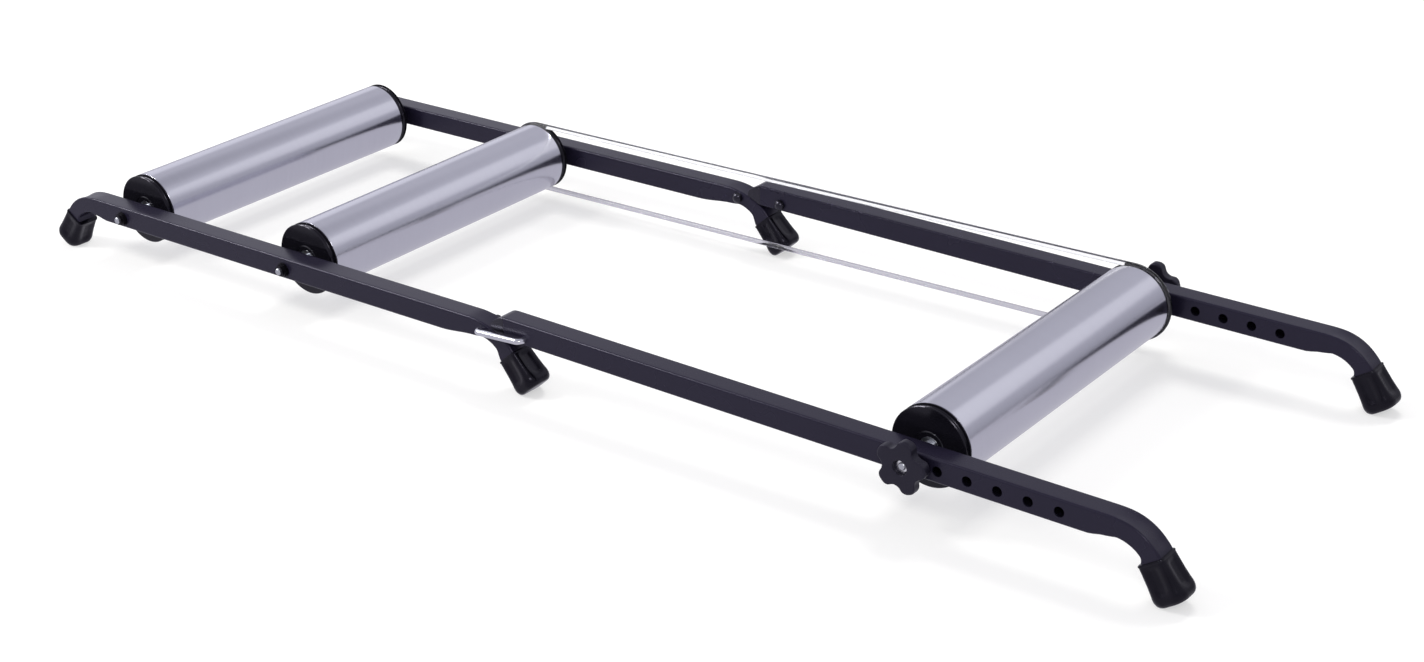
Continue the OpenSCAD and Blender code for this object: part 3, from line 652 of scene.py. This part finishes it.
def makeBoot(name, matrix, body, node):
    deselectAll()
    bpy.ops.mesh.primitive_cylinder_add(vertices=boot["facets"], radius=boot["blank"],
                                        depth=boot["length"], location=(0, 0, -boot["length"] / 2))
    block = bpy.context.object
    bpy.ops.object.transform_apply(location=True)
    bpy.ops.object.mode_set(mode="EDIT")
    depths = {level[0] for level in boot["levels"][1:-1]}
    steps = int(boot["length"] / mm / boot["step"])
    depths.update(boot["step"] * number for number in range(1, steps))
    for depth in sorted(depths):
        bpy.ops.mesh.select_all(action="SELECT")
        bpy.ops.mesh.bisect(plane_co=(0, 0, -depth * mm), plane_no=(0, 0, 1))
    bpy.ops.object.mode_set(mode="OBJECT")
    for vertex in block.data.vertices:
        direction, depth = math.atan2(vertex.co.y, vertex.co.x), -vertex.co.z / mm
        half, corner = levelAt(depth)
        reach = (squareReach(direction, half, corner) - panelDepth(direction, half, depth)) * mm
        vertex.co.x, vertex.co.y = reach * math.cos(direction), reach * math.sin(direction)
    block.data.transform(matrix)
    makeActive(block)
    bpy.ops.object.mode_set(mode="EDIT")
    bpy.ops.mesh.select_all(action="SELECT")
    bpy.ops.mesh.bisect(plane_co=(0, 0, 0), plane_no=(0, 0, 1), clear_inner=True, use_fill=True)
    bpy.ops.mesh.select_all(action="SELECT")
    bpy.ops.mesh.normals_make_consistent(inside=False)
    bpy.ops.object.mode_set(mode="OBJECT")
    bpy.ops.object.shade_smooth_by_angle(angle=boot["smoothBelow"])
    block.name = name
    finishPiece(block, rubberBlack, body, node)


# the collar's place on a leg, with the leg pointing down along -Z there
def onLeg(straight, bend, show):
    middle = rail["bendOuter"] - rail["tube"] / 2
    return (
        Matrix.Translation((straight, 0, -rail["bendOuter"]))
        @ Matrix.Rotation(bend["angle"], 4, "Y")
        @ Matrix.Translation((show, 0, middle))
        @ Matrix.Rotation(-math.pi / 2, 4, "Y")
    )


say("feet")
for side in sides:
    rearFrame, frontFrame = toSide(side) @ rearRailMatrix, toSide(side) @ frontRailMatrix
    rear = mirrorX @ onLeg(0, bends["end"], legShow["rear"]) @ mirrorX
    makeBoot("rearFoot_" + side, rearFrame @ rear, "rear_frame", "rear_foot_" + side)
    centre = onLeg(rail["rearStraight"], bends["centre"], legShow["centre"])
    makeBoot("centreFoot_" + side, rearFrame @ centre, "rear_frame", "centre_foot_" + side)
    front = onLeg(rail["frontStraight"], bends["end"], legShow["front"])
    makeBoot("frontFoot_" + side, frontFrame @ front, "front_frame", "front_foot_" + side)

# a moulded piece has no sharp edge: it is remeshed in fine grains and worn round in some rounds
moulded = {"wear": 0.5, "knob": (0.6 * mm, 7), "plug": (0.5 * mm, 4)}


def soften(piece, grain, rounds):
    addModifier(piece, "REMESH", mode="VOXEL", voxel_size=grain, use_smooth_shade=True)
    addModifier(piece, "SMOOTH", factor=moulded["wear"], iterations=rounds)


say("knobs and plugs")
for side in sides:
    knob = copyNode("star_knob_" + side, "starKnob_" + side)
    soften(knob, *moulded["knob"])
    finishPiece(knob, knobBlack, side + "_knob", "star_knob_" + side)
    plug = copyNode("end_plug_" + side, "endPlug_" + side)
    soften(plug, *moulded["plug"])
    finishPiece(plug, capGloss, "front_frame", "end_plug_" + side)

# the clear belt: two straight runs and a half turn round each drum's groove
belt = {
    "diameter": 6 * mm, "sunk": 0.6 * mm, "y": 198.2 * mm, "turnSteps": 40, "roundSteps": 6,
    "weldAt": 0.43, "weldIn": 0.1 * mm, "weldRadius": 0.5 * mm, "weldFacets": (32, 10),
}


def makeBelt():
    radius = drumTube["radius"] - belt["sunk"]
    ends = [Vector((drum.x, 0, drum.z)) for drum in (drumMiddle, drumFront)]
    along = (ends[1] - ends[0]).normalized()
    up = Vector((-along.z, 0, along.x))
    points = []
    for centre, forward in zip(ends, (-along, along)):
        sense = 1 if forward == along else -1
        for step in range(belt["turnSteps"] + 1):
            turn = math.pi * step / belt["turnSteps"]
            points.append(centre + up * (sense * math.cos(turn) * radius)
                          + forward * (math.sin(turn) * radius))
    curve = bpy.data.curves.new("belt", "CURVE")
    curve.dimensions = "3D"
    curve.bevel_depth = belt["diameter"] / 2
    curve.bevel_resolution = belt["roundSteps"]
    spline = curve.splines.new("POLY")
    spline.points.add(len(points) - 1)
    for point, place in zip(spline.points, points):
        point.co = (place.x, belt["y"], place.z, 1)
    spline.use_cyclic_u = True
    loop = bpy.data.objects.new("driveBelt", curve)
    bpy.context.scene.collection.objects.link(loop)
    makeActive(loop)
    bpy.ops.object.convert(target="MESH")
    loop = bpy.context.object
    weldPlace = ends[0].lerp(ends[1], belt["weldAt"]) - up * radius
    deselectAll()
    bpy.ops.mesh.primitive_torus_add(
        major_radius=belt["diameter"] / 2 - belt["weldIn"], minor_radius=belt["weldRadius"],
        location=(weldPlace.x, belt["y"], weldPlace.z), rotation=(0, math.pi / 2, 0),
        major_segments=belt["weldFacets"][0], minor_segments=belt["weldFacets"][1])
    weld = bpy.context.object
    bpy.ops.object.transform_apply(location=True, rotation=True)
    makeActive(loop)
    weld.select_set(True)
    bpy.ops.object.join()
    bpy.ops.object.shade_smooth()
    return finishPiece(loop, clearBelt, "rear_frame", "drive_belt")


# wire links of the fold: the bar outside the rail is a little stouter than its legs
foldLink = {"thicker": 0.9 * mm, "outside": 238.3 * mm, "smoothBelow": math.radians(40)}


def makeFoldLink(side):
    bar = copyNode("fold_link_" + side, "foldLink" + side.title())
    normals = [vertex.normal.copy() for vertex in bar.data.vertices]
    for vertex, normal in zip(bar.data.vertices, normals):
        if abs(vertex.co.y) > foldLink["outside"]:
            vertex.co += normal * foldLink["thicker"]
    makeActive(bar)
    bpy.ops.object.shade_smooth_by_angle(angle=foldLink["smoothBelow"])
    finishPiece(bar, chromePlate, "fold_links", "fold_link_" + side)


say("fold links")
for side in sides:
    makeFoldLink(side)

say("belt")
driveBelt = makeBelt()
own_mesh(driveBelt)

say("camera")
camera = {
    "place": (1.50656, -1.83040, 1.07278), "azimuth": 38.179, "down": 24.720, "roll": -1.811,
    "focalPixels": 2319.3, "imageWidth": 1424, "sensorWidth": 36,
}
cameraData = bpy.data.cameras.new("camera")
cameraData.sensor_width = camera["sensorWidth"]
cameraData.lens = camera["focalPixels"] / camera["imageWidth"] * cameraData.sensor_width
cameraObject = bpy.data.objects.new("camera", cameraData)
bpy.context.scene.collection.objects.link(cameraObject)
turn = Matrix.Rotation(math.radians(camera["azimuth"]), 4, "Z")
tilt = Matrix.Rotation(math.radians(90 - camera["down"]), 4, "X")
roll = Matrix.Rotation(math.radians(camera["roll"]), 4, "Z")
cameraObject.matrix_world = Matrix.Translation(camera["place"]) @ turn @ tilt @ roll
bpy.context.scene.camera = cameraObject

say("studio")
studio = {
    # the floor as the camera and the belt see it, as gloss sees it, and as the rest does
    "floorSize": 30.0, "floorShade": (0.505, 0.500, 0.475, 1), "floorGlow": 0.54,
    "mirrorFloor": (0.61, 0.60, 0.67, 1), "unseenFloor": (0.75, 0.75, 0.78, 1),
    # the sky by height: a dark strip at the horizon, grey above it and dimmer overhead
    "sky": [
        (0.0, (0.14, 0.14, 0.18)), (0.012, (0.17, 0.17, 0.21)), (0.045, (0.43, 0.43, 0.49)),
        (0.35, (0.55, 0.55, 0.62)), (0.72, (0.64, 0.64, 0.71)), (0.84, (0.42, 0.42, 0.48)),
        (1.0, (0.36, 0.36, 0.42)),
    ],
    # its bright left side, from the horizon up
    "skyLeft": (0.88, 0.88, 0.97), "leftEdge": (0.56, 0.67), "leftRise": (0.02, 0.10),
    # place, aim, size along and across, watts, whether gloss shows it
    "lamps": [
        ((-0.2, 2.0, 3.2), (0.0, 0.0, 0.0), (1.3, 1.0), 60, False),
        ((-1.9, -1.4, 2.3), (0.0, 0.0, 0.0), (0.9, 0.38), 27, True),
        ((2.0, -2.6, 2.2), (0.3, 0.0, 0.0), (0.8, 0.8), 20, True),
        # broad and dim, for the band of light along the drums
        ((1.94, 3.20, 2.48), (0.0, 0.0, 0.0), (2.2, 2.0), 3.9, True),
        # a strip for the light line on the rear rail's edge
        ((-3.1, -1.57, 2.3), (-0.45, -0.24, 0.1), (1.5, 0.3), 38, True),
    ],
}
deselectAll()
bpy.ops.mesh.primitive_plane_add(size=studio["floorSize"])
floor = bpy.context.object
floor.name = "floor"
floorMaterial = bpy.data.materials.new("paleFloor")
floorMaterial.use_nodes = True
board = NodeBoard(floorMaterial.node_tree)
shade = board.node("ShaderNodeBsdfDiffuse", {}, {"Color": studio["floorShade"]})
shown = board.node("ShaderNodeAddShader", {}, [shade, board.glow(studio["floorGlow"])])
unseen = board.node("ShaderNodeBsdfDiffuse", {}, {"Color": studio["unseenFloor"]})
inGloss = board.glow(1.0, colour=studio["mirrorFloor"])
mirrored = board.mixShaders(board.rayIs("Glossy"), unseen, inGloss)
board.output("ShaderNodeOutputMaterial",
             board.mixShaders(board.rayIs("Camera", "Transmission"), mirrored, shown))
floor.data.materials.append(floorMaterial)

world = bpy.data.worlds.new("studio")
bpy.context.scene.world = world
world.use_nodes = True
board = NodeBoard(world.node_tree)
way = board.node("ShaderNodeTexCoord", {}, output="Generated")
height = board.node("ShaderNodeSeparateXYZ", {}, [way], output="Z")
aside = board.node("ShaderNodeSeparateXYZ", {}, [way], output="X")
sky = board.node("ShaderNodeValToRGB", {"stops": studio["sky"]}, [height])
left = board.between(0 - aside, *studio["leftEdge"]) * board.between(height, *studio["leftRise"])
sky = board.node("ShaderNodeMix", {"data_type": "RGBA"},
                 {0: left, 6: sky, 7: (*studio["skyLeft"], 1)}, output=2)
white = board.glow(1.0, "ShaderNodeBackground")
board.output("ShaderNodeOutputWorld", board.mixShaders(
    board.rayIs("Camera", "Transmission"), board.glow(1.0, "ShaderNodeBackground", sky), white))

for number, (place, aim, size, watts, shows) in enumerate(studio["lamps"]):
    lampData = bpy.data.lights.new("lamp" + str(number), "AREA")
    lampData.shape = "RECTANGLE"
    lampData.size, lampData.size_y = size
    lampData.energy = watts
    lamp = bpy.data.objects.new(lampData.name, lampData)
    lamp.location = place
    lamp.rotation_euler = (Vector(aim) - Vector(place)).to_track_quat("-Z", "Y").to_euler()
    lamp.visible_glossy = shows
    bpy.context.scene.collection.objects.link(lamp)
bpy.context.scene.view_settings.view_transform = "Standard"

say("sizes")
